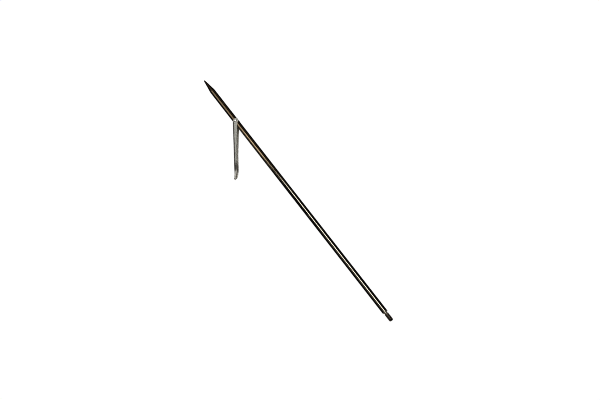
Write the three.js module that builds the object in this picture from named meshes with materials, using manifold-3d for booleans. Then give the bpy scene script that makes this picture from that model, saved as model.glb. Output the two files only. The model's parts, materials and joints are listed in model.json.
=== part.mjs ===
// Screw-on spear shaft with one folding barb, in millimetres.
//
// The shaft lies along X: its point is at -X and its threaded stud at +X. The origin is on the shaft's
// axis, in the plane of the shoulder that seats against the pole. The barb turns about a rivet that is
// parallel to Z, and opens towards -Y.

import * as THREE from 'three';
import { mergeVertices } from 'three/addons/utils/BufferGeometryUtils.js';
import Module from 'manifold-3d';

// ---- Shaft: an 8 mm rod, 500 mm long with its stud ----
const SHAFT_RADIUS = 4;
const TIP_X = -484.7;
const POINT_CONE_LENGTH = 22.9;
const POINT_CONE_END_RADIUS = 1.0;
const POINT_BEVEL_LENGTH = 1.4;
const POINT_NOSE_RADIUS = 0.3;
const SHOULDER_CHAMFER = 0.4;

// ---- Stud: 1/4 inch, 20 threads to the inch, right-hand, behind a relief groove ----
const RELIEF_RADIUS = 2.3;
const RELIEF_WIDTH = 2.6;
const STUD_LENGTH = 15.3;
const THREAD_PITCH = 1.27;
const THREAD_MAJOR_RADIUS = 3.12;
const THREAD_MINOR_RADIUS = 2.48;
const STUD_END_RADIUS = 2.2;
const STUD_END_CHAMFER = 0.9;

// ---- Pivot ----
const PIVOT_X = TIP_X + 93.2;
const RIVET_SHANK_RADIUS = 1.5;
const RIVET_HEAD_RADIUS = 2.1;
const RIVET_HEAD_FLAT_RADIUS = 1.2;
const RIVET_HEAD_HEIGHT = 0.8;
const RIVET_HEAD_RIM_HEIGHT = 0.2;
const RIVET_HOLE_CLEARANCE = 0.03;
const BARB_HOLE_CLEARANCE = 0.05;
const HEAD_GAP = 0.05;

// ---- Barb: a folded channel that closes over the rod with a small gap all round ----
const BARB_REST_ANGLE = 32.8;
const BARB_LENGTH = 95.3;
const SHEET = 0.8;
const ROD_GAP = 0.15;
const BARB_INNER_HALF_WIDTH = SHAFT_RADIUS + ROD_GAP;
const BARB_OUTER_HALF_WIDTH = BARB_INNER_HALF_WIDTH + SHEET;
const WEB_INNER_V = SHAFT_RADIUS + ROD_GAP;
const WEB_OUTER_V = WEB_INNER_V + SHEET;
const WEB_FRONT_U = 1.7;
const EAR_SLIT = 0.35;
const FOLD_INNER_RADIUS = 1.6;
const FOLD_OUTER_RADIUS = FOLD_INNER_RADIUS + SHEET;
const FOLD_START_V = WEB_INNER_V - FOLD_INNER_RADIUS;
const EAR_RADIUS = 4.4;
const LIP_START_U = 86;
const LIP_RISE = 0.9;

// ---- How finely round shapes are drawn ----
const ROD_SEGMENTS = 48;
const ROUND_SEGMENTS = 40;
const PIN_SEGMENTS = 32;
const FOLD_SEGMENTS = 6;

// ---- Finishes, as [colour, roughness, metalness] ----
const SHAFT_FINISH = [0xb2a89b, 0.2, 1];
const BARB_FINISH = [0xcfcdc7, 0.28, 1];
const RIVET_FINISH = [0xd9d7d2, 0.3, 1];

const wasm = await Module();
wasm.setup();

// ---------------------------------------------------------------- joining and cutting

function toSolid(geometry) {
  const bare = geometry.clone();
  bare.deleteAttribute('normal');
  bare.deleteAttribute('uv');
  const merged = mergeVertices(bare, 1e-4);
  return new wasm.Manifold(new wasm.Mesh({
    numProp: 3,
    vertProperties: new Float32Array(merged.attributes.position.array),
    triVerts: new Uint32Array(merged.index.array),
  }));
}

function toGeometry(solid) {
  const mesh = solid.getMesh();
  const geometry = new THREE.BufferGeometry();
  geometry.setAttribute('position', new THREE.BufferAttribute(mesh.vertProperties, 3));
  geometry.setIndex(new THREE.BufferAttribute(mesh.triVerts, 1));
  geometry.computeVertexNormals();
  return geometry;
}

function namedMesh(name, geometry, [color, roughness, metalness]) {
  const mesh = new THREE.Mesh(geometry, new THREE.MeshStandardMaterial({ color, roughness, metalness }));
  mesh.name = name;
  return mesh;
}

// ---------------------------------------------------------------- turned shapes

// A solid of revolution about X, from [x, radius] points that start and end on the axis.
function turnedAboutX(profile, segments) {
  const points = profile.map(([x, radius]) => new THREE.Vector2(radius, x));
  return new THREE.LatheGeometry(points, segments).rotateZ(-Math.PI / 2);
}

// A cylinder along Z that crosses the X axis.
function pinAlongZ(radius, length, x) {
  const pin = new THREE.CylinderGeometry(radius, radius, length, PIN_SEGMENTS);
  return pin.rotateX(Math.PI / 2).translate(x, 0, 0);
}

// ---------------------------------------------------------------- shaft

function rodGeometry() {
  const bevelX = TIP_X + POINT_NOSE_RADIUS / 2;
  const coneX = bevelX + POINT_BEVEL_LENGTH;
  return turnedAboutX([
    [TIP_X, 0],
    [bevelX, POINT_NOSE_RADIUS],
    [coneX, POINT_CONE_END_RADIUS],
    [coneX + POINT_CONE_LENGTH, SHAFT_RADIUS],
    [-SHOULDER_CHAMFER, SHAFT_RADIUS],
    [0, SHAFT_RADIUS - SHOULDER_CHAMFER],
    [0, 0],
  ], ROD_SEGMENTS);
}

// The stud's relief groove starts inside the rod, and its thread is a true helix: each column of
// vertices round the stud is a fraction of a pitch further along than the one before it, and the last
// column joins the first one a whole pitch further on.
function studGeometry() {
  const columns = 24;
  const rootInside = -2;
  const runOut = THREAD_PITCH;
  const ringGap = 0.15;
  // One pitch of thread, as [share of the pitch, share of the thread's height].
  const profile = [[0, 0], [0.38, 1], [0.5, 1], [0.88, 0]];
  const rowsPerPitch = profile.length;
  const threadStart = RELIEF_WIDTH;
  const threadEnd = STUD_LENGTH - STUD_END_CHAMFER - ringGap;
  const turns = Math.floor((threadEnd - threadStart) / THREAD_PITCH) - 1;
  const rows = turns * rowsPerPitch;
  const positions = [];
  const indices = [];

  const addVertex = (x, radius, turn) => {
    const angle = turn * 2 * Math.PI;
    positions.push(x, radius * Math.cos(angle), radius * Math.sin(angle));
    return positions.length / 3 - 1;
  };
  const ring = (x, radius) => Array.from({ length: columns }, (_, j) => addVertex(x, radius, j / columns));
  const height = (x) => {
    const fromStart = (x - threadStart) / runOut;
    const fromEnd = (threadEnd - x) / runOut;
    return Math.max(0, Math.min(1, fromStart, fromEnd));
  };

  // The helical rows. Column 0 has one pitch more of them, because it also closes the last column.
  const helix = [];
  for (let j = 0; j < columns; j += 1) {
    const column = [];
    const rowCount = j === 0 ? rows + rowsPerPitch : rows;
    for (let i = 0; i <= rowCount; i += 1) {
      const [along, crest] = profile[i % rowsPerPitch];
      const x = threadStart + THREAD_PITCH * (Math.floor(i / rowsPerPitch) + along + j / columns);
      const depth = (THREAD_MAJOR_RADIUS - THREAD_MINOR_RADIUS) * crest * height(x);
      column.push(addVertex(x, THREAD_MINOR_RADIUS + depth, j / columns));
    }
    helix.push(column);
  }
  const vertexAt = (i, j) => (j < columns ? helix[j][i] : helix[0][i + rowsPerPitch]);

  for (let j = 0; j < columns; j += 1) {
    for (let i = 0; i < rows; i += 1) {
      const [a, b, c, d] = [vertexAt(i, j), vertexAt(i + 1, j), vertexAt(i + 1, j + 1), vertexAt(i, j + 1)];
      indices.push(a, c, b, a, d, c);
    }
  }

  // Plain rings at constant x close the two ragged ends of the helix.
  const join = (near, far) => {
    for (let j = 0; j < columns; j += 1) {
      const next = (j + 1) % columns;
      indices.push(near[j], far[next], far[j], near[j], near[next], far[next]);
    }
  };
  const startRing = ring(threadStart - ringGap, THREAD_MINOR_RADIUS);
  const endRing = ring(threadEnd + ringGap, THREAD_MINOR_RADIUS);
  const last = columns - 1;
  for (let j = 0; j < last; j += 1) {
    indices.push(startRing[j], vertexAt(0, j + 1), vertexAt(0, j));
    indices.push(startRing[j], startRing[j + 1], vertexAt(0, j + 1));
  }
  indices.push(startRing[last], startRing[0], vertexAt(0, 0));
  indices.push(startRing[last], vertexAt(0, columns), vertexAt(0, last));
  for (let j = 1; j < columns; j += 1) {
    indices.push(endRing[j], vertexAt(rows, j), vertexAt(rows, j + 1));
    indices.push(endRing[j], vertexAt(rows, j + 1), endRing[(j + 1) % columns]);
  }
  indices.push(endRing[1], vertexAt(rows, 0), vertexAt(rows, 1));
  indices.push(endRing[1], endRing[0], helix[0][rows + rowsPerPitch]);
  for (let i = 0; i < rowsPerPitch; i += 1) {
    indices.push(startRing[last], helix[0][i], helix[0][i + 1]);
    indices.push(endRing[1], helix[0][rows + i + 1], helix[0][rows + i]);
  }

  // Relief groove, inner end disc, end chamfer and end disc.
  const reliefEnd = ring(threadStart - 2 * ringGap, RELIEF_RADIUS);
  const inner = ring(rootInside, RELIEF_RADIUS);
  const innerCentre = addVertex(rootInside, 0, 0);
  const outer = ring(STUD_LENGTH, STUD_END_RADIUS);
  const outerCentre = addVertex(STUD_LENGTH, 0, 0);
  join(reliefEnd, startRing);
  join(inner, reliefEnd);
  join(endRing, outer);
  for (let j = 0; j < columns; j += 1) {
    const next = (j + 1) % columns;
    indices.push(innerCentre, inner[next], inner[j]);
    indices.push(outerCentre, outer[j], outer[next]);
  }

  const geometry = new THREE.BufferGeometry();
  geometry.setAttribute('position', new THREE.Float32BufferAttribute(positions, 3));
  geometry.setIndex(indices);
  return geometry;
}

function shaftMesh() {
  const rivetHole = pinAlongZ(RIVET_SHANK_RADIUS + RIVET_HOLE_CLEARANCE, 4 * SHAFT_RADIUS, PIVOT_X);
  const solid = toSolid(rodGeometry())
    .add(toSolid(studGeometry()))
    .subtract(toSolid(rivetHole));
  return namedMesh('shaft', toGeometry(solid), SHAFT_FINISH);
}

// ---------------------------------------------------------------- barb

// The barb's own axes: u runs from the pivot to its free end, v points away from the shaft and w is
// the rivet's direction. Shapes are drawn in (u, v) or (v, w) and extruded along the third axis.

// The folded channel's section in (v, w).
function channelSection() {
  const openEnd = -12;
  const foldW = BARB_OUTER_HALF_WIDTH - FOLD_OUTER_RADIUS;
  const quarter = Math.PI / 2;
  const section = new THREE.Shape();
  section.moveTo(openEnd, -BARB_OUTER_HALF_WIDTH);
  section.lineTo(FOLD_START_V, -BARB_OUTER_HALF_WIDTH);
  section.absarc(FOLD_START_V, -foldW, FOLD_OUTER_RADIUS, -quarter, 0, false);
  section.absarc(FOLD_START_V, foldW, FOLD_OUTER_RADIUS, 0, quarter, false);
  section.lineTo(openEnd, BARB_OUTER_HALF_WIDTH);
  section.lineTo(openEnd, BARB_INNER_HALF_WIDTH);
  section.lineTo(FOLD_START_V, BARB_INNER_HALF_WIDTH);
  section.absarc(FOLD_START_V, foldW, FOLD_INNER_RADIUS, quarter, 0, true);
  section.absarc(FOLD_START_V, -foldW, FOLD_INNER_RADIUS, 0, -quarter, true);
  section.lineTo(openEnd, -BARB_INNER_HALF_WIDTH);
  return section;
}

// The channel as one long extrusion: one straight step up to the lip, then short steps through the lip,
// which is kicked away from the shaft.
function channelGeometry() {
  const lipSteps = 6;
  const steps = 1 + lipSteps;
  const depth = BARB_LENGTH + 1 - WEB_FRONT_U;
  const options = { depth, steps, curveSegments: FOLD_SEGMENTS, bevelEnabled: false };
  const channel = new THREE.ExtrudeGeometry(channelSection(), options);
  const toBarbAxes = new THREE.Matrix4().makeBasis(
    new THREE.Vector3(0, 1, 0),
    new THREE.Vector3(0, 0, 1),
    new THREE.Vector3(1, 0, 0),
  );
  channel.applyMatrix4(toBarbAxes);
  const position = channel.attributes.position;
  for (let k = 0; k < position.count; k += 1) {
    const step = Math.round(position.getX(k) / (depth / steps));
    const intoLip = Math.max(0, (step - 1) / lipSteps);
    const u = step === 0 ? WEB_FRONT_U : LIP_START_U + intoLip * (BARB_LENGTH + 1 - LIP_START_U);
    position.setX(k, u);
    position.setY(k, position.getY(k) + LIP_RISE * intoLip * intoLip);
  }
  return channel;
}

// The barb's outline seen along the rivet, in (u, v). The flanges are deepest at the ears, taper towards
// the free end and die out in the web just before it.
function sideOutline() {
  const top = WEB_OUTER_V + 2 * LIP_RISE;
  const belowPivot = -3;
  const edgeSteps = 36;
  const freeEdge = new THREE.SplineCurve([
    new THREE.Vector2(2.6, -3.55),
    new THREE.Vector2(4, -2.9),
    new THREE.Vector2(7, -2.5),
    new THREE.Vector2(15, -2.2),
    new THREE.Vector2(27, -1.3),
    new THREE.Vector2(40, -0.6),
    new THREE.Vector2(56, 0.2),
    new THREE.Vector2(73, 0.4),
    new THREE.Vector2(82, 0.8),
    new THREE.Vector2(87.5, 1.6),
    new THREE.Vector2(91.5, 2.9),
    new THREE.Vector2(BARB_LENGTH, 4.9),
  ]);
  const outline = new THREE.Shape();
  outline.moveTo(BARB_LENGTH, top);
  outline.lineTo(0, top);
  outline.lineTo(0, belowPivot);
  for (const point of freeEdge.getPoints(edgeSteps)) outline.lineTo(point.x, point.y);
  return outline;
}

function slabAlongW(shape, wLow, wHigh) {
  const options = { depth: wHigh - wLow, curveSegments: ROUND_SEGMENTS, bevelEnabled: false };
  return new THREE.ExtrudeGeometry(shape, options).translate(0, 0, wLow);
}

// Each ear is a flat disc round the rivet. A slit keeps it off the front of the fold, and where the fold
// begins only the flat part of the flange runs on.
function earOutline() {
  const slitU = WEB_FRONT_U - EAR_SLIT;
  const fromAngle = Math.acos(slitU / EAR_RADIUS);
  const toAngle = Math.asin(FOLD_START_V / EAR_RADIUS);
  const ear = new THREE.Shape();
  ear.absarc(0, 0, EAR_RADIUS, fromAngle, toAngle, false);
  ear.lineTo(slitU, FOLD_START_V);
  return ear;
}

function barbMesh() {
  const reach = BARB_OUTER_HALF_WIDTH + 1;
  const hole = pinAlongZ(RIVET_SHANK_RADIUS + BARB_HOLE_CLEARANCE, 2 * reach, 0);
  let solid = toSolid(channelGeometry()).intersect(toSolid(slabAlongW(sideOutline(), -reach, reach)));
  for (const low of [BARB_INNER_HALF_WIDTH, -BARB_OUTER_HALF_WIDTH]) {
    solid = solid.add(toSolid(slabAlongW(earOutline(), low, low + SHEET)));
  }
  return namedMesh('barb', toGeometry(solid.subtract(toSolid(hole))), BARB_FINISH);
}

// ---------------------------------------------------------------- rivet

// Half of the rivet's profile, from the shank out and over one domed head to its small flat top.
function rivetHalfProfile() {
  const underHead = BARB_OUTER_HALF_WIDTH + HEAD_GAP;
  const rim = underHead + RIVET_HEAD_RIM_HEIGHT;
  const domeHeight = RIVET_HEAD_HEIGHT - RIVET_HEAD_RIM_HEIGHT;
  const domeWidth = RIVET_HEAD_RADIUS - RIVET_HEAD_FLAT_RADIUS;
  const domeSteps = 4;
  const points = [[RIVET_SHANK_RADIUS, underHead], [RIVET_HEAD_RADIUS, underHead]];
  for (let k = 0; k <= domeSteps; k += 1) {
    const angle = (k / domeSteps) * (Math.PI / 2);
    points.push([RIVET_HEAD_FLAT_RADIUS + domeWidth * Math.cos(angle), rim + domeHeight * Math.sin(angle)]);
  }
  points.push([0, rim + domeHeight]);
  return points;
}

function rivetMesh() {
  const upper = rivetHalfProfile().map(([radius, z]) => new THREE.Vector2(radius, z));
  const lower = upper.map((point) => new THREE.Vector2(point.x, -point.y)).reverse();
  const geometry = new THREE.LatheGeometry([...lower, ...upper], PIN_SEGMENTS).rotateX(Math.PI / 2);
  return namedMesh('pivot_rivet', toGeometry(toSolid(geometry)), RIVET_FINISH);
}

// ---------------------------------------------------------------- assembly

const spearShaft = new THREE.Group();
spearShaft.add(shaftMesh());

// Everything on the pivot: the rivet stays with the shaft, and the barb is turned to rest part open.
const pivot = new THREE.Group();
pivot.position.set(PIVOT_X, 0, 0);
pivot.add(rivetMesh());
const openBarb = new THREE.Group();
openBarb.rotation.set(Math.PI, 0, THREE.MathUtils.degToRad(-BARB_REST_ANGLE), 'ZXY');
openBarb.add(barbMesh());
pivot.add(openBarb);
spearShaft.add(pivot);

export default spearShaft;
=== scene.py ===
import json
import math

import bmesh
import bpy
import numpy as np
from mathutils import Matrix, Vector, geometry


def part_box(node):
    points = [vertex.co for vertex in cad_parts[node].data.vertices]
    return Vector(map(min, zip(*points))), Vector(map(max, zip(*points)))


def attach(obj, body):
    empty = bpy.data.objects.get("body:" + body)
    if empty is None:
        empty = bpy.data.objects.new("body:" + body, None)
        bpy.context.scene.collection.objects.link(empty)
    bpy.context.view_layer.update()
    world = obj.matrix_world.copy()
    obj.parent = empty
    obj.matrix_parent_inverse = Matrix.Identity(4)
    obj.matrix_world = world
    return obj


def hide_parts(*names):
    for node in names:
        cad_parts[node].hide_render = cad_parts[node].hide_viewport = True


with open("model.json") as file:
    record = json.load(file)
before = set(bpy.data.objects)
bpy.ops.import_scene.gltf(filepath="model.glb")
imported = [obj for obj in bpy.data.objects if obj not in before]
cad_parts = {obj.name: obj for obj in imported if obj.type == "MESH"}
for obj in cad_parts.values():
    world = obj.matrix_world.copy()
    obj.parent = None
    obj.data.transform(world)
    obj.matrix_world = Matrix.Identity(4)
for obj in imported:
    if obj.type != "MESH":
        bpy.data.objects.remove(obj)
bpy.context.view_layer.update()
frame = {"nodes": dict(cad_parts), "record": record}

# A screw-on spear shaft with one folding barb. Shapes are drawn in millimetres and scaled to metres
# when their meshes are made. The shaft lies along X, with its point at -X and its stud at +X.
MM = 0.001

# ---------------------------------------------------------------- dimensions

JOINT = frame["record"]["behaviour"]["joints"][0]
PIVOT_X = JOINT["pos_m"][0] / MM
REST_ANGLE = math.radians(-JOINT["range_deg"][0])
TIP_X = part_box("shaft")[0].x / MM
STUD_END_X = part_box("shaft")[1].x / MM
SHAFT_RADIUS = 4.0

# The barb's own axes: u from the pivot to its free end, v away from the shaft, w along the rivet.
BARB_U = Vector((math.cos(REST_ANGLE), -math.sin(REST_ANGLE), 0))
BARB_V = Vector((-math.sin(REST_ANGLE), -math.cos(REST_ANGLE), 0))
BARB_W = Vector((0, 0, -1))
BARB_LENGTH = 95.3
SHEET = 0.8
INNER_HALF_WIDTH = 4.15
OUTER_HALF_WIDTH = INNER_HALF_WIDTH + SHEET
WEB_INNER_V = 4.15
FOLD_RADIUS = 1.6
FOLD_START_V = WEB_INNER_V - FOLD_RADIUS
WEB_FRONT_U = 1.7
EAR_SLIT = 0.35
EAR_RADIUS = 4.4
EAR_END = (2.6, -3.55)
HOLE_RADIUS = 1.55
LIP_START_U = 86.0
LIP_RISE = 0.9
EDGE_ROUNDING = 0.13
WAVINESS = 0.035

# Distances across the flat blank, from its centre line: where the fold starts and ends, and the pivot.
FOLD_FROM_S = INNER_HALF_WIDTH - FOLD_RADIUS
FOLD_TO_S = FOLD_FROM_S + FOLD_RADIUS * math.pi / 2
PIVOT_S = FOLD_TO_S + FOLD_START_V


# ---------------------------------------------------------------- mesh helpers

def make_object(name, vertices, faces, smooth_angle):
    """A mesh object from points in millimetres, with outward faces and smooth shading below an angle."""
    mesh = bpy.data.meshes.new(name)
    mesh.from_pydata([tuple(c * MM for c in p) for p in vertices], [], faces)
    tidy = bmesh.new()
    tidy.from_mesh(mesh)
    bmesh.ops.recalc_face_normals(tidy, faces=tidy.faces)
    tidy.to_mesh(mesh)
    tidy.free()
    mesh.shade_smooth()
    mesh.set_sharp_from_angle(angle=math.radians(smooth_angle))
    obj = bpy.data.objects.new(name, mesh)
    bpy.context.scene.collection.objects.link(obj)
    return obj


def revolved(stations, segments, radius_at, place):
    """Vertices and faces of a closed shape turned about an axis, with a pole at each end.
    radius_at(station, turn) is the radius, and place(station, radius, turn) is the point."""
    vertices = [place(stations[0], 0, 0), place(stations[-1], 0, 0)]
    rings = stations[1:-1]
    for station in rings:
        for j in range(segments):
            turn = j / segments
            vertices.append(place(station, radius_at(station, turn), turn))
    faces = []
    for j in range(segments):
        k = (j + 1) % segments
        faces.append((0, 2 + k, 2 + j))
        last = 2 + (len(rings) - 1) * segments
        faces.append((1, last + j, last + k))
        for i in range(len(rings) - 1):
            a = 2 + i * segments
            b = a + segments
            faces.append((a + j, a + k, b + k, b + j))
    return vertices, faces


def cut_with(obj, cutter, smooth_angle):
    """Cuts one closed mesh out of another and removes the cutter."""
    modifier = obj.modifiers.new("cut", "BOOLEAN")
    modifier.operation = "DIFFERENCE"
    modifier.solver = "EXACT"
    modifier.object = cutter
    bpy.context.view_layer.update()
    evaluated = obj.evaluated_get(bpy.context.evaluated_depsgraph_get())
    mesh = bpy.data.meshes.new_from_object(evaluated)
    obj.modifiers.remove(modifier)
    obj.data = mesh
    bpy.data.objects.remove(cutter)
    mesh.shade_smooth()
    mesh.set_sharp_from_angle(angle=math.radians(smooth_angle))


def spline_through(points, per_span):
    """Points along a Catmull-Rom spline through the given (x, y) points."""
    ends = [points[0]] + points + [points[-1]]
    out = []
    for i in range(1, len(ends) - 2):
        p0, p1, p2, p3 = (np.array(ends[i + k], float) for k in (-1, 0, 1, 2))
        for step in range(per_span):
            t = step / per_span
            a = 2 * p1 + (p2 - p0) * t
            b = (2 * p0 - 5 * p1 + 4 * p2 - p3) * t ** 2
            c = (3 * p1 - p0 - 3 * p2 + p3) * t ** 3
            out.append(tuple((a + b + c) / 2))
    out.append(tuple(points[-1]))
    return out


# ---------------------------------------------------------------- shaft

SHAFT_SEGMENTS = 128
NOSE_RADIUS = 0.3
NOSE_LENGTH = 0.2
BEVEL_END_X = TIP_X + 1.55
BEVEL_END_RADIUS = 1.0
CONE_END_X = TIP_X + 24.45
CONE_BLEND = 0.6
RIVET_HOLE_RADIUS = 1.53
SHOULDER_CHAMFER = 0.4
RELIEF_RADIUS = 2.3
RELIEF_FILLET = 0.35
THREAD_START_X = 2.6
THREAD_RUN_IN_X = THREAD_START_X - 0.3
THREAD_END_X = STUD_END_X - 0.06
THREAD_ROWS_PER_TURN = 22
THREAD_PITCH = 1.27
THREAD_MAJOR_RADIUS = 3.12
THREAD_MINOR_RADIUS = 2.48
STUD_END_RADIUS = 2.2


def rod_profile():
    """(x, radius) stations from the point to the end of the relief groove."""
    profile = [(TIP_X, 0.0)]
    for k in range(1, 6):
        angle = k / 6 * math.pi / 2
        profile.append((TIP_X + NOSE_LENGTH * (1 - math.cos(angle)), NOSE_RADIUS * math.sin(angle)))
    profile.append((TIP_X + NOSE_LENGTH, NOSE_RADIUS))
    profile.append((BEVEL_END_X - 0.08, BEVEL_END_RADIUS - 0.03))
    profile.append((BEVEL_END_X + 0.08, BEVEL_END_RADIUS + 0.012))
    slope = (SHAFT_RADIUS - BEVEL_END_RADIUS) / (CONE_END_X - BEVEL_END_X)
    for share in np.linspace(0.08, 0.96, 12):
        x = BEVEL_END_X + share * (CONE_END_X - BEVEL_END_X)
        profile.append((x, BEVEL_END_RADIUS + slope * (x - BEVEL_END_X)))
    for t in (-1.0, -0.5, 0.0, 0.5, 1.0):
        blend = slope * CONE_BLEND * (1 - t) ** 2 / 4
        profile.append((CONE_END_X + CONE_BLEND * t, SHAFT_RADIUS - blend))
    for x in np.linspace(CONE_END_X + 8, PIVOT_X - 5, 6):
        profile.append((x, SHAFT_RADIUS))
    for x in (PIVOT_X - 2.5, PIVOT_X, PIVOT_X + 2.5):
        profile.append((x, SHAFT_RADIUS))
    for x in np.linspace(PIVOT_X + 8, -4, 30):
        profile.append((x, SHAFT_RADIUS))

    # The shoulder's chamfer, with both of its edges slightly eased, then the relief groove's fillet.
    profile.append((-SHOULDER_CHAMFER - 0.25, SHAFT_RADIUS))
    profile.append((-SHOULDER_CHAMFER - 0.06, SHAFT_RADIUS - 0.015))
    profile.append((-SHOULDER_CHAMFER + 0.06, SHAFT_RADIUS - 0.07))
    profile.append((-0.07, SHAFT_RADIUS - SHOULDER_CHAMFER + 0.06))
    profile.append((-0.015, SHAFT_RADIUS - SHOULDER_CHAMFER - 0.03))
    profile.append((0.0, SHAFT_RADIUS - SHOULDER_CHAMFER - 0.15))
    profile.append((0.0, RELIEF_RADIUS + RELIEF_FILLET))
    for angle in (0.4, 0.8, 1.2):
        off_groove = RELIEF_FILLET * (1 - math.sin(angle))
        profile.append((RELIEF_FILLET * (1 - math.cos(angle)), RELIEF_RADIUS + off_groove))
    profile.append((0.4, RELIEF_RADIUS))
    profile.append((THREAD_START_X - 0.4, RELIEF_RADIUS))
    return profile


def thread_radius(x, turn):
    """The stud's radius at a point of its right-hand thread, which has flat roots and crests and is
    chamfered at both ends."""
    flank_share = 0.29
    root_level = 0.36
    phase = (x / THREAD_PITCH - turn) % 1.0
    height = min(1.0, max(0.0, min(phase, 1.0 - phase) / flank_share - root_level))
    radius = THREAD_MINOR_RADIUS + (THREAD_MAJOR_RADIUS - THREAD_MINOR_RADIUS) * height
    start_chamfer = RELIEF_RADIUS + 0.9 * max(0.0, x - THREAD_RUN_IN_X)
    end_chamfer = STUD_END_RADIUS + THREAD_END_X - x
    return min(radius, start_chamfer, end_chamfer)


def make_shaft():
    """The whole rod as one turned body with a cut thread, drilled across for the rivet."""
    rows = int((THREAD_END_X - THREAD_RUN_IN_X) / (THREAD_PITCH / THREAD_ROWS_PER_TURN))
    thread = [(x, None) for x in np.linspace(THREAD_RUN_IN_X, THREAD_END_X, rows)]
    end = [(STUD_END_X, STUD_END_RADIUS - 0.08), (STUD_END_X, 0.9), (STUD_END_X, 0.0)]

    def radius_at(station, turn):
        x, radius = station
        return thread_radius(x, turn) if radius is None else radius

    def place(station, radius, turn):
        angle = 2 * math.pi * turn
        return (station[0], radius * math.cos(angle), radius * math.sin(angle))

    vertices, faces = revolved(rod_profile() + thread + end, SHAFT_SEGMENTS, radius_at, place)
    shaft = make_object("spear_shaft", vertices, faces, 40)
    cut_with(shaft, make_pin("rivet_hole", RIVET_HOLE_RADIUS, 6.0), 40)
    return shaft


def make_pin(name, radius, half_length):
    """A plain pin along the pivot's axis, used to drill the shaft."""
    stations = [-half_length, -half_length, half_length, half_length]

    def place(station, ring_radius, turn):
        angle = 2 * math.pi * turn
        return (PIVOT_X + ring_radius * math.cos(angle), ring_radius * math.sin(angle), station)

    vertices, faces = revolved(stations, 64, lambda station, turn: radius, place)
    return make_object(name, vertices, faces, 40)


# ---------------------------------------------------------------- barb

# The flanges' free edge in (u, v), from the ear to the lip, and the lip's round end in (u, s).
FREE_EDGE = [
    EAR_END, (4, -2.9), (7, -2.5), (15, -2.2), (27, -1.3), (40, -0.6), (56, 0.2), (73, 0.4),
    (82, 0.8), (87.5, 1.6), (91.5, 2.9),
]
LIP_END = [(93.5, 3.4), (94.6, 2.7), (95.15, 1.7), (BARB_LENGTH, 0.6)]


def across_blank(v):
    """How far across the flat blank a point of the folded flange lies, from its height v."""
    if v <= FOLD_START_V:
        return FOLD_TO_S + FOLD_START_V - v
    share = min(1.0, (v - FOLD_START_V) / (FOLD_RADIUS + SHEET))
    return FOLD_TO_S - FOLD_RADIUS * math.asin(share)


def blank_half_outline():
    """Half of the flat blank's outline in (u, s): web front, slit, ear, free edge and lip. Its corners
    are eased by about a tenth of a millimetre."""
    slit_u = WEB_FRONT_U - EAR_SLIT
    points = [(WEB_FRONT_U, s) for s in np.linspace(0.3, FOLD_TO_S - 0.1, 12)]
    points.append((WEB_FRONT_U - 0.09, FOLD_TO_S))
    points.append((slit_u + 0.09, FOLD_TO_S))
    from_angle = math.acos(slit_u / EAR_RADIUS)
    to_angle = 2 * math.pi - math.atan2(-EAR_END[1], EAR_END[0])
    top = PIVOT_S - EAR_RADIUS * math.sin(from_angle)
    points += [(slit_u, s) for s in np.linspace(FOLD_TO_S - 0.1, top + 0.12, 4)]
    points.append((slit_u - 0.08, top - 0.01))
    for angle in np.linspace(from_angle + 0.05, to_angle - 0.08, 56):
        points.append((EAR_RADIUS * math.cos(angle), PIVOT_S - EAR_RADIUS * math.sin(angle)))
    edge = [(u, across_blank(v)) for u, v in FREE_EDGE] + LIP_END
    points += spline_through(edge, 12)
    return points


def loop_normals(loop):
    """Unit normals of a closed loop of (u, s) points, pointing away from what it encloses."""
    before = loop - np.roll(loop, 1, axis=0)
    after = np.roll(loop, -1, axis=0) - loop
    before /= np.linalg.norm(before, axis=1)[:, None]
    after /= np.linalg.norm(after, axis=1)[:, None]
    along = before + after
    along /= np.linalg.norm(along, axis=1)[:, None]
    normals = np.stack([along[:, 1], -along[:, 0]], axis=1)
    following = np.roll(loop, -1, axis=0)
    area = np.sum(loop[:, 0] * following[:, 1] - following[:, 0] * loop[:, 1])
    return normals if area > 0 else -normals


def inside_loop(points, loop):
    """Which (u, s) points lie inside a closed loop."""
    inside = np.zeros(len(points), bool)
    for a, b in zip(loop, np.roll(loop, -1, axis=0)):
        crosses = (a[1] > points[:, 1]) != (b[1] > points[:, 1])
        rise = b[1] - a[1] if b[1] != a[1] else 1e-12
        at = (b[0] - a[0]) * (points[:, 1] - a[1]) / rise + a[0]
        inside ^= crosses & (points[:, 0] < at)
    return inside


def distance_to_loop(points, loop):
    """How far each (u, s) point lies from a closed loop."""
    nearest = np.full(len(points), 1e9)
    for a, b in zip(loop, np.roll(loop, -1, axis=0)):
        edge = b - a
        share = np.clip((points - a) @ edge / (edge @ edge), 0, 1)
        foot = a + share[:, None] * edge
        nearest = np.minimum(nearest, np.linalg.norm(points - foot, axis=1))
    return nearest


def folded(u, s, h):
    """The point of the barb, in its own axes, that the blank's point (u, s) at height h folds to. The
    sheet's slight waves start behind the ears, and the lip curves away from the shaft."""
    side = 1 if s >= 0 else -1
    across = abs(s)
    fade = min(1.0, max(0.0, (u - 6) / 10))
    wave = 0.6 * math.sin(0.29 * u + 1.1 + 0.35 * s) + 0.4 * math.sin(0.71 * u + 0.4 - 0.2 * s)
    lift = h + WAVINESS * fade * wave
    is_ear = u < WEB_FRONT_U - EAR_SLIT / 2
    if across > FOLD_TO_S or is_ear:
        w = INNER_HALF_WIDTH + lift
        v = FOLD_START_V - (across - FOLD_TO_S)
    elif across > FOLD_FROM_S:
        angle = (across - FOLD_FROM_S) / FOLD_RADIUS
        w = FOLD_FROM_S + (FOLD_RADIUS + lift) * math.sin(angle)
        v = FOLD_START_V + (FOLD_RADIUS + lift) * math.cos(angle)
    else:
        w = across
        v = WEB_INNER_V + lift
    into_lip = max(0.0, (u - LIP_START_U) / (BARB_LENGTH - LIP_START_U))
    return (u, v + LIP_RISE * into_lip ** 2, side * w)


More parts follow.
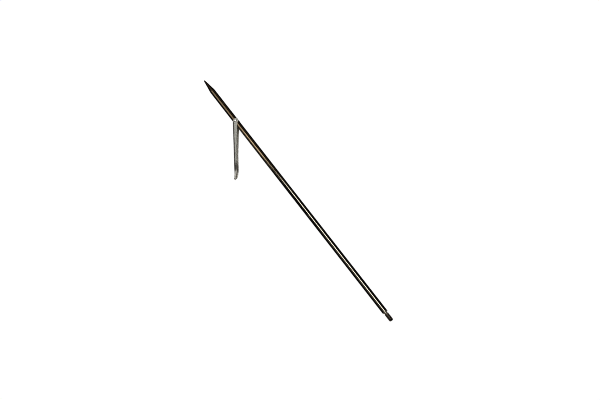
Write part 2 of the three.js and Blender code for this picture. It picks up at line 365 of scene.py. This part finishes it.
def blank_triangles(loops):
    """Triangulates the blank inside its outline and outside its holes. Gives (points, triangles),
    where the loops' own points come first."""
    outline, holes = loops[0], loops[1:]
    fold_lines = np.linspace(FOLD_FROM_S, FOLD_TO_S, 9)
    flat_lines = np.arange(FOLD_TO_S + 0.7, PIVOT_S + EAR_RADIUS, 0.7)
    web_lines = np.linspace(0, FOLD_FROM_S, 4)[:-1]
    lines = np.concatenate([web_lines, fold_lines, flat_lines])
    lines = np.unique(np.concatenate([lines, -lines]))
    columns = np.arange(-EAR_RADIUS + 0.4, BARB_LENGTH, 0.8)
    edge_gap = 0.22
    grid = np.array([(u, s) for u in columns for s in lines])
    keep = inside_loop(grid, outline) & (distance_to_loop(grid, outline) > edge_gap)
    for hole in holes:
        keep &= ~inside_loop(grid, hole) & (distance_to_loop(grid, hole) > edge_gap)
    points = np.concatenate(loops + [grid[keep]])
    edges = []
    start = 0
    for loop in loops:
        count = len(loop)
        edges += [(start + i, start + (i + 1) % count) for i in range(count)]
        start += count
    result = geometry.delaunay_2d_cdt([Vector(p) for p in points], edges, [], 0, 1e-6)
    new_points, _, triangles, originals = result[:4]
    number = {}
    for i, sources in enumerate(originals):
        for source in sources:
            number[source] = i
    flat = np.array([tuple(p) for p in new_points])
    centres = np.array([flat[list(t)].mean(axis=0) for t in triangles])
    inside = inside_loop(centres, outline)
    for hole in holes:
        inside &= ~inside_loop(centres, hole)
    kept = [tuple(t) for t, ok in zip(triangles, inside) if ok]
    loop_numbers = [number[i] for i in range(start)]
    return flat, kept, loop_numbers


def make_barb():
    """The flat blank with its two pivot holes, given its thickness and rounded edges, and then folded."""
    half = blank_half_outline()
    outline = np.array(half + [(u, -s) for u, s in reversed(half)])
    circle = [2 * math.pi * k / 48 for k in range(48)]
    loops = [outline]
    for side in (1, -1):
        hole = [(HOLE_RADIUS * math.cos(a), side * PIVOT_S + HOLE_RADIUS * math.sin(a)) for a in circle]
        loops.append(np.array(hole))
    outward = [loop_normals(loops[0])] + [-loop_normals(loop) for loop in loops[1:]]
    inset = [loop - EDGE_ROUNDING * normals for loop, normals in zip(loops, outward)]
    flat, triangles, loop_numbers = blank_triangles(inset)

    vertices = [folded(u, s, 0) for u, s in flat] + [folded(u, s, SHEET) for u, s in flat]
    count = len(flat)
    faces = [(a, c, b) for a, b, c in triangles]
    faces += [(a + count, b + count, c + count) for a, b, c in triangles]

    # Rounded edges all round: rows between the inner and the outer face, as (outward offset, height).
    r = EDGE_ROUNDING
    rows = [(0.71 * r, 0.29 * r), (r, r), (r, SHEET - r), (0.71 * r, SHEET - 0.29 * r)]
    start = 0
    for loop, normals in zip(inset, outward):
        size = len(loop)
        inner = [loop_numbers[start + i] for i in range(size)]
        ladder = [inner]
        for offset, height in rows:
            ladder.append(list(range(len(vertices), len(vertices) + size)))
            vertices += [folded(u, s, height) for u, s in loop + offset * normals]
        ladder.append([i + count for i in inner])
        for low, high in zip(ladder, ladder[1:]):
            for i in range(size):
                k = (i + 1) % size
                faces.append((low[i], low[k], high[k], high[i]))
        start += size

    pivot = Vector((PIVOT_X, 0, 0))
    placed = [tuple(pivot + BARB_U * u + BARB_V * v + BARB_W * w) for u, v, w in vertices]
    return make_object("folding_barb", placed, faces, 50)


# ---------------------------------------------------------------- rivet

RIVET_SHANK_RADIUS = 1.5
RIVET_HEAD_RADIUS = 2.12
RIVET_RIM_HEIGHT = 0.22
RIVET_SHOULDER_HEIGHT = 0.5
RIVET_CROWN_RADIUS = 1.32
RIVET_CROWN_HEIGHT = 0.05
UNDER_RIVET_HEAD = OUTER_HALF_WIDTH + 0.05


def rivet_half_profile():
    """(z, radius) stations of the rivet's upper half: underside of the head, rim, shoulder and crown."""
    low = UNDER_RIVET_HEAD
    rim_top = low + RIVET_RIM_HEIGHT
    crown = rim_top + RIVET_SHOULDER_HEIGHT
    half = [(low, RIVET_SHANK_RADIUS), (low, 2.0), (low + 0.05, 2.1), (rim_top, RIVET_HEAD_RADIUS)]
    for k in range(1, 6):
        angle = k / 6 * math.pi / 2
        radius = RIVET_CROWN_RADIUS + (RIVET_HEAD_RADIUS - RIVET_CROWN_RADIUS) * math.cos(angle)
        half.append((rim_top + RIVET_SHOULDER_HEIGHT * math.sin(angle), radius))
    for radius in (RIVET_CROWN_RADIUS, 1.0, 0.65, 0.3):
        half.append((crown + RIVET_CROWN_HEIGHT * (1 - (radius / RIVET_CROWN_RADIUS) ** 2), radius))
    half.append((crown + RIVET_CROWN_HEIGHT, 0.0))
    return half


def make_rivet():
    """A peened pin: two low, slightly uneven heads on a plain shank."""
    half = rivet_half_profile()
    profile = [(-z, radius) for z, radius in reversed(half)] + half

    def radius_at(station, turn):
        angle = 2 * math.pi * turn
        uneven = 0.02 * math.sin(3 * angle + 0.7) + 0.012 * math.sin(5 * angle + 2.1)
        is_head = station[1] > RIVET_SHANK_RADIUS + 0.1
        return station[1] * (1 + uneven) if is_head else station[1]

    def place(station, radius, turn):
        angle = 2 * math.pi * turn
        x = radius * math.cos(angle)
        y = radius * math.sin(angle)
        z = station[0]
        if abs(z) > UNDER_RIVET_HEAD + 0.4:
            z += math.copysign(1, z) * 0.022 * math.sin(2.6 * x + 0.5) * math.cos(2.2 * y)
        return (PIVOT_X + x, y, z)

    vertices, faces = revolved(profile, 72, radius_at, place)
    return make_object("peened_rivet", vertices, faces, 38)


# ---------------------------------------------------------------- material helpers

class Nodes:
    """A short way to write the node tree of a material or a world."""

    def __init__(self, owner, shader):
        self.owner = owner
        owner.use_nodes = True
        self.tree = owner.node_tree
        self.shader = self.tree.nodes[shader]

    def add(self, kind, inputs=None, **settings):
        node = self.tree.nodes.new(kind)
        for key, value in settings.items():
            setattr(node, key, value)
        for key, value in (inputs or {}).items():
            self.feed(node.inputs[key], value)
        return node

    def feed(self, socket, value):
        if isinstance(value, bpy.types.NodeSocket):
            self.tree.links.new(value, socket)
        else:
            socket.default_value = value

    def math(self, operation, a, b=0.0, c=0.0):
        return self.add("ShaderNodeMath", {0: a, 1: b, 2: c}, operation=operation).outputs[0]

    def plus(self, a, b):
        return self.math("ADD", a, b)

    def times(self, a, b):
        return self.math("MULTIPLY", a, b)

    def one_minus(self, a):
        return self.math("SUBTRACT", 1.0, a)

    def vector(self, operation, a, b):
        return self.add("ShaderNodeVectorMath", {0: a, 1: b}, operation=operation).outputs[0]

    def parts(self, vector):
        """The X, Y and Z of a vector."""
        return self.add("ShaderNodeSeparateXYZ", {0: vector}).outputs

    def length(self, **parts):
        """The length of a vector made of the given parts."""
        vector = self.add("ShaderNodeCombineXYZ", parts).outputs[0]
        return self.add("ShaderNodeVectorMath", {0: vector}, operation="LENGTH").outputs["Value"]

    def place(self):
        """The shaded point, in metres."""
        return self.add("ShaderNodeTexCoord").outputs["Object"]

    def place_from_pivot(self):
        """The shaded point measured from the middle of the rivet, in metres."""
        return self.vector("SUBTRACT", self.place(), (PIVOT_X * MM, 0.0, 0.0))

    def ramp(self, value, low, high, to_low=0.0, to_high=1.0):
        """A smooth change from to_low at low to to_high at high."""
        inputs = {"Value": value, "From Min": low, "From Max": high, "To Min": to_low, "To Max": to_high}
        return self.add("ShaderNodeMapRange", inputs, interpolation_type="SMOOTHSTEP").outputs["Result"]

    def levels(self, value, stops):
        """A grey level that runs straight between (value, level) stops."""
        node = self.tree.nodes.new("ShaderNodeValToRGB")
        elements = node.color_ramp.elements
        elements[0].position = stops[0][0]
        elements[-1].position = stops[-1][0]
        for position, _ in stops[1:-1]:
            elements.new(position)
        for element, (_, level) in zip(elements, stops):
            element.color = (level, level, level, 1.0)
        self.feed(node.inputs["Fac"], value)
        return node.outputs["Color"]

    def mix(self, share, a, b):
        node = self.add("ShaderNodeMix", {"Factor": share}, data_type="RGBA")
        self.feed(node.inputs[6], a)
        self.feed(node.inputs[7], b)
        return node.outputs[2]

    def mix_values(self, share, a, b):
        return self.add("ShaderNodeMix", {"Factor": share, 2: a, 3: b}).outputs[0]

    def noise(self, vector, scale, detail=3.0, roughness=0.55):
        """Noise with its own number of bumps to the metre along each axis."""
        stretched = self.vector("MULTIPLY", vector, scale)
        inputs = {"Vector": stretched, "Scale": 1.0, "Detail": detail, "Roughness": roughness}
        return self.add("ShaderNodeTexNoise", inputs).outputs["Fac"]

    def bump(self, height, strength, distance, normal=None):
        inputs = {"Height": height, "Strength": strength, "Distance": distance}
        if normal is not None:
            inputs["Normal"] = normal
        return self.add("ShaderNodeBump", inputs).outputs["Normal"]

    def finish(self, base, metallic, roughness, normal):
        """Feeds the shader and gives the finished material."""
        inputs = self.shader.inputs
        self.feed(inputs["Base Color"], base)
        self.feed(inputs["Metallic"], metallic)
        self.feed(inputs["Roughness"], roughness)
        self.feed(inputs["Normal"], normal)
        return self.owner


def material_nodes(name):
    return Nodes(bpy.data.materials.new(name), "Principled BSDF")


def colour(red, green, blue):
    return (red, green, blue, 1.0)


# ---------------------------------------------------------------- materials

def shaft_material():
    """Hard, bronze-tinted polished steel with drawn lines, a ground point with painted shade at the tip, a
    painted tan reflection on the front half, and a thread whose black flanks carry painted shade and whose
    crests carry a painted highlight.
    """
    m = material_nodes("shaft_steel")
    point = m.place()
    axes = m.parts(point)
    x = axes["X"]
    radius = m.length(Y=axes["Y"], Z=axes["Z"])
    on_point = m.ramp(x, (CONE_END_X - 0.5) * MM, (CONE_END_X + 1.5) * MM, 1.0, 0.0)
    tip_shade = m.ramp(x, (TIP_X + 3) * MM, (TIP_X + 19) * MM, 0.8, 0.0)
    front_half = m.ramp(x, -330 * MM, -240 * MM, 1.0, 0.0)
    by_shoulder = m.ramp(x, -1.4 * MM, -0.3 * MM)
    on_stud = m.ramp(x, -0.2 * MM, 0.5 * MM)
    on_thread = m.ramp(x, 2.0 * MM, 2.7 * MM)
    on_crest = m.ramp(radius, 2.85 * MM, 3.08 * MM)

    drawn = m.noise(point, (14, 2600, 2600), 4.0, 0.6)
    scratches = m.ramp(m.noise(point, (45, 5200, 5200), 2.0), 0.62, 0.70)
    scuffs = m.ramp(m.noise(point, (900, 260, 260), 3.0, 0.7), 0.63, 0.70)
    patches = m.noise(point, (26, 120, 120), 5.0, 0.6)
    stains = m.ramp(m.noise(point, (90, 330, 330), 4.0, 0.65), 0.58, 0.74)
    rings = m.noise(point, (3800, 40, 40), 2.0, 0.5)

    # The front half's stronger tan is a painted reflection of the tan sheet over it, on top of the steel's
    # own warm tint; the rear half is paler.
    tan = m.mix(patches, colour(0.50, 0.43, 0.335), colour(0.42, 0.355, 0.275))
    pale = m.mix(patches, colour(0.54, 0.515, 0.46), colour(0.47, 0.445, 0.395))
    base = m.mix(front_half, pale, tan)
    base = m.mix(m.times(stains, 0.35), base, colour(0.20, 0.145, 0.10))
    base = m.mix(m.times(scratches, 0.35), base, colour(0.70, 0.65, 0.55))
    base = m.mix(m.times(scuffs, 0.22), base, colour(0.28, 0.23, 0.175))
    # Toward the tip the ground point runs to nearly black: painted shade.
    ground = m.mix(rings, colour(0.21, 0.16, 0.12), colour(0.13, 0.095, 0.07))
    ground = m.mix(tip_shade, ground, colour(0.045, 0.034, 0.028))
    base = m.mix(on_point, base, ground)
    # The crests are lighter from wear and carry a painted highlight that fades from the shoulder toward the
    # stud's end; the flanks' near-black is partly black oxide and partly painted shade.
    crest_wear_and_highlight = m.mix(m.ramp(x, 3 * MM, 10 * MM), colour(0.62, 0.56, 0.47), colour(0.36, 0.30, 0.25))
    thread = m.mix(on_crest, colour(0.014, 0.012, 0.010), crest_wear_and_highlight)
    turned = m.mix(rings, colour(0.72, 0.68, 0.60), colour(0.58, 0.545, 0.48))
    base = m.mix(on_stud, base, m.mix(on_thread, turned, thread))
    rub = m.times(by_shoulder, m.ramp(patches, 0.4, 0.6))
    base = m.mix(m.times(rub, 0.4), base, colour(0.55, 0.50, 0.43))

    metallic = m.ramp(on_stud, 0.0, 1.0, 1.0, 0.85)
    metallic = m.math("SUBTRACT", metallic, m.times(stains, 0.25))
    rough = m.plus(m.ramp(drawn, 0.3, 0.7, 0.09, 0.15), m.times(stains, 0.14))
    rough = m.plus(rough, m.times(scuffs, 0.12))
    rough = m.mix_values(on_point, rough, m.ramp(rings, 0.3, 0.7, 0.22, 0.32))
    rough = m.mix_values(on_stud, rough, 0.26)
    lines = m.times(drawn, m.one_minus(on_point))
    marks = m.times(rings, m.plus(on_point, m.times(on_stud, 0.7)))
    normal = m.bump(lines, 0.14, 0.00002)
    normal = m.bump(marks, 0.30, 0.00004, normal)
    normal = m.bump(stains, 0.10, 0.00003, normal)
    return m.finish(base, metallic, rough, normal)


def barb_material():
    """Stainless sheet, brushed along its length, with a duller inside, painted shade in the folds' inner
    corners, a darker band before the lip, a filed lip with painted shade on its end corners, and a plain
    back to the web."""
    m = material_nodes("barb_steel")
    turned = m.add(
        "ShaderNodeVectorRotate",
        {"Vector": m.place_from_pivot(), "Angle": REST_ANGLE},
        rotation_type="Z_AXIS",
    ).outputs[0]
    axes = m.parts(turned)
    along = axes["X"]
    outwards = axes["Y"]
    across = m.math("ABSOLUTE", axes["Z"])

    brushed = m.noise(turned, (70, 4200, 4200), 4.0, 0.6)
    patches = m.noise(turned, (40, 260, 260), 3.0, 0.5)
    stains = m.ramp(m.noise(turned, (180, 420, 420), 5.0, 0.65), 0.56, 0.72)
    scratches = m.ramp(m.noise(turned, (260, 3400, 2100), 2.0), 0.68, 0.75)

    between_flanges = m.ramp(across, 4.3 * MM, 4.6 * MM, 1.0, 0.0)
    inside = m.times(between_flanges, m.ramp(outwards, -4.7 * MM, -4.4 * MM))
    by_fold = m.times(m.ramp(across, 2.2 * MM, 3.0 * MM), m.ramp(across, 3.9 * MM, 4.12 * MM, 1.0, 0.0))
    fold_corner_shade = m.times(by_fold, inside)
    before_lip = m.ramp(along, 84 * MM, 92 * MM, 1.0, 0.0)
    web_back = m.times(m.ramp(outwards, -4.85 * MM, -4.65 * MM, 1.0, 0.0), before_lip)
    # A darker band along the barb from about 62 to 84 mm, kept off the back of the web.
    darker_before_lip = m.times(m.ramp(along, 62 * MM, 76 * MM), m.ramp(along, 79 * MM, 84 * MM, 1.0, 0.0))
    darker_before_lip = m.times(darker_before_lip, m.one_minus(web_back))
    uneven_along = m.math("MULTIPLY_ADD", m.math("SUBTRACT", brushed, 0.5), 9 * MM, along)
    filed = m.times(m.ramp(uneven_along, 77 * MM, 87 * MM), m.one_minus(m.times(web_back, 0.9)))
    # The lip's end corners, on both sides, are darkened: painted shade.
    corners = m.times(m.ramp(across, 2.0 * MM, 2.8 * MM), m.ramp(along, 93.4 * MM, 94.2 * MM))

    base = m.mix(patches, colour(0.68, 0.67, 0.63), colour(0.58, 0.57, 0.535))
    base = m.mix(m.ramp(brushed, 0.35, 0.65, 0.0, 0.35), base, colour(0.48, 0.465, 0.435))
    base = m.mix(m.times(stains, 0.22), base, colour(0.33, 0.29, 0.24))
    base = m.mix(m.times(darker_before_lip, 0.7), base, colour(0.20, 0.185, 0.165))
    base = m.mix(m.times(scratches, 0.5), base, colour(0.84, 0.83, 0.80))
    base = m.mix(m.times(corners, 0.85), base, colour(0.06, 0.055, 0.05))
    # The folds' inner corners are darkened: painted shade.
    base = m.mix(m.times(fold_corner_shade, 0.75), base, colour(0.13, 0.115, 0.10))

    matte_inside = m.one_minus(m.times(inside, 0.4))
    matte_lip = m.one_minus(m.times(filed, m.ramp(patches, 0.3, 0.7, 0.62, 0.40)))
    metallic = m.math("SUBTRACT", m.math("MINIMUM", matte_inside, matte_lip), m.times(stains, 0.3))
    rough = m.plus(m.ramp(brushed, 0.25, 0.75, 0.18, 0.27), m.times(stains, 0.12))
    rough = m.plus(rough, m.times(inside, 0.24))
    rough = m.math("MAXIMUM", rough, m.times(filed, 0.50))
    normal = m.bump(brushed, 0.06, 0.00003)
    normal = m.bump(patches, 0.02, 0.00012, normal)
    return m.finish(base, metallic, rough, normal)


def rivet_material():
    """Bright peened steel with small hammer marks, with painted shade round the rim of each head."""
    m = material_nodes("rivet_steel")
    from_pivot = m.place_from_pivot()
    axes = m.parts(from_pivot)
    radius = m.length(X=axes["X"], Y=axes["Y"])
    cells = m.add(
        "ShaderNodeTexVoronoi",
        {"Vector": from_pivot, "Scale": 1900.0, "Smoothness": 0.6},
        feature="SMOOTH_F1",
    ).outputs["Distance"]
    grain = m.noise(from_pivot, (3500, 3500, 3500), 4.0)
    # The rims of the heads are darkened: painted shade.
    rim = m.ramp(radius, 1.35 * MM, 2.0 * MM)
    base = m.mix(grain, colour(0.80, 0.79, 0.75), colour(0.66, 0.65, 0.61))
    base = m.mix(m.times(rim, 0.75), base, colour(0.24, 0.21, 0.18))
    rough = m.ramp(grain, 0.3, 0.7, 0.20, 0.34)
    normal = m.bump(cells, 0.25, 0.00006)
    normal = m.bump(grain, 0.15, 0.00002, normal)
    return m.finish(base, 1.0, rough, normal)


# ---------------------------------------------------------------- set and light

# How bright the room is in reflections, as a share of ROOM_LIGHT. The first number of a stop is 0 towards
# -X and 1 towards +X, except in OVERHEAD_LEVELS, where it is 0 level with the object and 1 straight over
# the shaft. The near side is at -Y. A dark flag covers the directions that the rod mirrors to the camera.
ROOM_LIGHT = (1.8, 1.77, 1.71)
FLAG = 0.009
NEAR_SIDE_LEVELS = [
    (0.0, 0.6), (0.05, 0.35), (0.16, 0.35), (0.20, FLAG), (0.41, FLAG), (0.46, 0.6), (0.52, 1.0),
    (0.92, 1.0), (0.97, 0.04),
]
FAR_SIDE_LEVELS = [
    (0.0, 1.0), (0.14, 0.8), (0.19, FLAG), (0.41, FLAG), (0.46, 0.6), (0.52, 1.0), (0.92, 1.0), (0.97, 0.04),
]
FLOOR_LEVELS = [
    (0.0, 0.30), (0.05, 0.15), (0.09, FLAG), (0.41, FLAG), (0.47, 0.22), (0.68, 0.30), (0.80, 0.05),
]
OVERHEAD_LEVELS = [(0.0, 0.5), (0.12, 0.22), (0.55, 0.13), (0.80, 0.25), (0.92, 1.0), (1.0, 1.0)]

WATTS_PER_SQUARE_METRE = 4
FLOOR_GAP = 0.05
FLOOR_HALF_SIZE = 6000.0

CAMERA_TARGET = Vector((-0.22106, 0.0029, 0))
CAMERA_DISTANCE = 2.1
CAMERA_TILT = math.radians(24)
CAMERA_TURN = math.radians(51.97)
CAMERA_LENS = 84.24
VIEW_GAMMA = 0.6
PIXEL_FILTER_WIDTH = 1.0


def floor_material():
    """A pale floor that looks nearly white and keeps a faint shadow. Reflections show it as the room."""
    m = material_nodes("pale_floor")
    grain = m.noise(m.place(), (900, 900, 900), 2.0)
    m.feed(m.shader.inputs["Base Color"], m.mix(grain, colour(0.90, 0.90, 0.895), colour(0.86, 0.86, 0.855)))
    m.feed(m.shader.inputs["Roughness"], 0.9)
    glow = m.add("ShaderNodeEmission", {"Color": colour(1.0, 1.0, 1.0), "Strength": 1.04})
    pale = m.add("ShaderNodeMixShader", {0: 0.9, 1: m.shader.outputs[0], 2: glow.outputs[0]})
    back_x = m.parts(m.add("ShaderNodeNewGeometry").outputs["Incoming"])["X"]
    level = m.levels(m.math("MULTIPLY_ADD", back_x, -0.5, 0.5), FLOOR_LEVELS)
    room = m.vector("MULTIPLY", level, ROOM_LIGHT)
    mirrored = m.add("ShaderNodeEmission", {"Color": room, "Strength": 1.0})
    glossy = m.add("ShaderNodeLightPath").outputs["Is Glossy Ray"]
    by_path = m.add("ShaderNodeMixShader", {0: glossy, 1: pale.outputs[0], 2: mirrored.outputs[0]})
    m.feed(m.tree.nodes["Material Output"].inputs["Surface"], by_path.outputs[0])
    return m.owner


def make_floor():
    """One big square just under the object's lowest point."""
    low = min(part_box(node)[0].z for node in frame["nodes"]) / MM - FLOOR_GAP
    middle = (TIP_X + STUD_END_X) / 2
    turns = [(-1, -1), (1, -1), (1, 1), (-1, 1)]
    corners = [(middle + i * FLOOR_HALF_SIZE, j * FLOOR_HALF_SIZE, low) for i, j in turns]
    floor = make_object("floor", corners, [(0, 1, 2, 3)], 40)
    floor.data.materials.append(floor_material())


def make_world():
    """White to the camera. Reflections show a room with a long light overhead and a dark flag across it."""
    world = bpy.data.worlds.new("studio")
    bpy.context.scene.world = world
    w = Nodes(world, "Background")
    axes = w.parts(w.add("ShaderNodeTexCoord").outputs["Generated"])
    share = w.math("MULTIPLY_ADD", axes["X"], 0.5, 0.5)
    is_far_side = w.ramp(axes["Y"], -0.15, 0.15)
    room = w.mix(is_far_side, w.levels(share, NEAR_SIDE_LEVELS), w.levels(share, FAR_SIDE_LEVELS))
    off_x = w.math("SQRT", w.math("SUBTRACT", 1.02, w.times(axes["X"], axes["X"])))
    upwards = w.math("DIVIDE", axes["Z"], off_x)
    room = w.vector("MULTIPLY", room, w.levels(upwards, OVERHEAD_LEVELS))
    room = w.vector("MAXIMUM", room, (FLAG, FLAG, FLAG))
    mirrored = w.vector("MULTIPLY", room, ROOM_LIGHT)
    glossy = w.add("ShaderNodeLightPath").outputs["Is Glossy Ray"]
    w.feed(w.shader.inputs["Color"], w.mix(glossy, colour(1.0, 1.0, 1.0), mirrored))


def axes_matrix(x_axis, y_axis, z_axis, place):
    """The matrix of an object with these axes at this place."""
    columns = (x_axis, y_axis, z_axis, place)
    rows = [[column[row] for column in columns] for row in range(3)]
    return Matrix(rows + [[0, 0, 0, 1]])


def make_card(name, centre, size, aim, across, tint, strength, receivers):
    """A rectangular soft light that faces aim and lights only the given objects, or all if none are given.
    Its first side runs along across, as nearly as its own plane allows."""
    light = bpy.data.lights.new(name, "AREA")
    light.shape = "RECTANGLE"
    light.size, light.size_y = size
    light.color = tint
    light.energy = strength * WATTS_PER_SQUARE_METRE * size[0] * size[1]
    card = bpy.data.objects.new(name, light)
    bpy.context.scene.collection.objects.link(card)
    back = (Vector(centre) - Vector(aim)).normalized()
    side = (Vector(across) - Vector(across).dot(back) * back).normalized()
    card.matrix_world = axes_matrix(side, back.cross(side), back, Vector(centre))
    card.visible_camera = False
    if receivers:
        group = bpy.data.collections.new(name + "_receivers")
        for obj in receivers:
            group.objects.link(obj)
        card.light_linking.receiver_collection = group


def make_shaft_cards(shaft):
    """The rod's rear half faces a white strip and its front half a tan sheet. Each card is given as its
    name, centre, size, aim, direction of its first side, tint and strength."""
    white = (1.0, 1.0, 0.99)
    tan = (1.0, 0.95, 0.87)
    brown = (1.0, 0.80, 0.50)
    along_x = (1, 0, 0)
    along_y = (0, 1, 0)
    slanted = (0.98, -0.20, 0)
    cards = [
        ("rear_strip", (-0.375, 0.12, 0.70), (0.45, 0.30), (-0.375, 0.12, 0), along_x, white, 2.45),
        ("rear_side", (-0.25, -0.42, 0.55), (0.40, 0.30), (-0.25, -0.1, 0), along_x, tan, 0.32),
        ("front_sheet", (-0.885, -0.42, 0.70), (0.36, 1.10), (-0.885, -0.42, 0), slanted, tan, 0.63),
        ("front_glow", (-0.69, -0.12, 0.69), (0.10, 0.36), (-0.69, -0.12, 0), slanted, tan, 1.0),
        ("front_side", (-0.85, 0.70, 0.75), (0.40, 0.90), (-0.85, 0, 0.6), along_x, brown, 0.10),
        ("end_glint", (1.37, 0.0, 0.61), (0.30, 0.30), (0, 0, 0), along_y, white, 0.8),
    ]
    for card in cards:
        make_card(*card, [shaft])


def make_lights(shaft, barb, rivet):
    """Cards over the object, each named for what it lights. The objects it lights come last."""
    cool = (0.98, 1, 1)
    warm = (1, 1, 0.98)
    white = (1, 1, 1)
    along_x = (1, 0, 0)
    make_shaft_cards(shaft)
    cards = [
        ("barb_sheet", (-0.75, 0.0, 0.75), (0.26, 0.26), (-0.35, -0.02, 0), along_x, cool, 0.86, [barb]),
        ("barb_inside", (-0.25, 0.55, 0.45), (0.50, 0.60), (-0.32, -0.03, 0), along_x, warm, 1.15, [barb]),
        ("rivet_spot", (-0.76, 0.0, 0.75), (0.26, 0.26), (-0.39, 0, 0), along_x, white, 3.0, [rivet]),
        ("floor_light", (0.3, 1.2, 2.2), (1.6, 1.6), (-0.2, 0, 0), along_x, white, 1.0, []),
    ]
    for card in cards:
        make_card(*card)


def make_camera():
    """Looks at the object from above and from its tail side, with the shaft running down to the right."""
    backwards = Vector((math.sin(CAMERA_TILT), 0, math.cos(CAMERA_TILT)))
    across = Vector((math.cos(CAMERA_TILT), 0, -math.sin(CAMERA_TILT)))
    y_axis = Vector((0, 1, 0))
    right = across * math.cos(CAMERA_TURN) + y_axis * math.sin(CAMERA_TURN)
    up = y_axis * math.cos(CAMERA_TURN) - across * math.sin(CAMERA_TURN)
    data = bpy.data.cameras.new("camera")
    data.sensor_width = 36
    data.lens = CAMERA_LENS
    data.clip_end = 50
    camera = bpy.data.objects.new("camera", data)
    bpy.context.scene.collection.objects.link(camera)
    camera.matrix_world = axes_matrix(right, up, backwards, CAMERA_TARGET + backwards * CAMERA_DISTANCE)
    bpy.context.scene.camera = camera


def set_view():
    """A low gamma and a narrow pixel filter keep the thin dark edges of the rod dark."""
    scene = bpy.context.scene
    scene.view_settings.view_transform = "Standard"
    scene.view_settings.gamma = VIEW_GAMMA
    scene.cycles.filter_width = PIXEL_FILTER_WIDTH


# ---------------------------------------------------------------- assembly

def add_piece(obj, material, body, node):
    """Gives a shape its material, the body that it rides on and the CAD node that it replaces."""
    obj.data.materials.clear()
    obj.data.materials.append(material)
    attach(obj, body)
    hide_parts(node)


shaft = make_shaft()
barb = make_barb()
rivet = make_rivet()
add_piece(shaft, shaft_material(), "shaft_body", "shaft")
add_piece(barb, barb_material(), "barb_body", "barb")
add_piece(rivet, rivet_material(), "shaft_body", "pivot_rivet")
make_floor()
make_world()
make_lights(shaft, barb, rivet)
make_camera()
set_view()
bpy.context.view_layer.update()
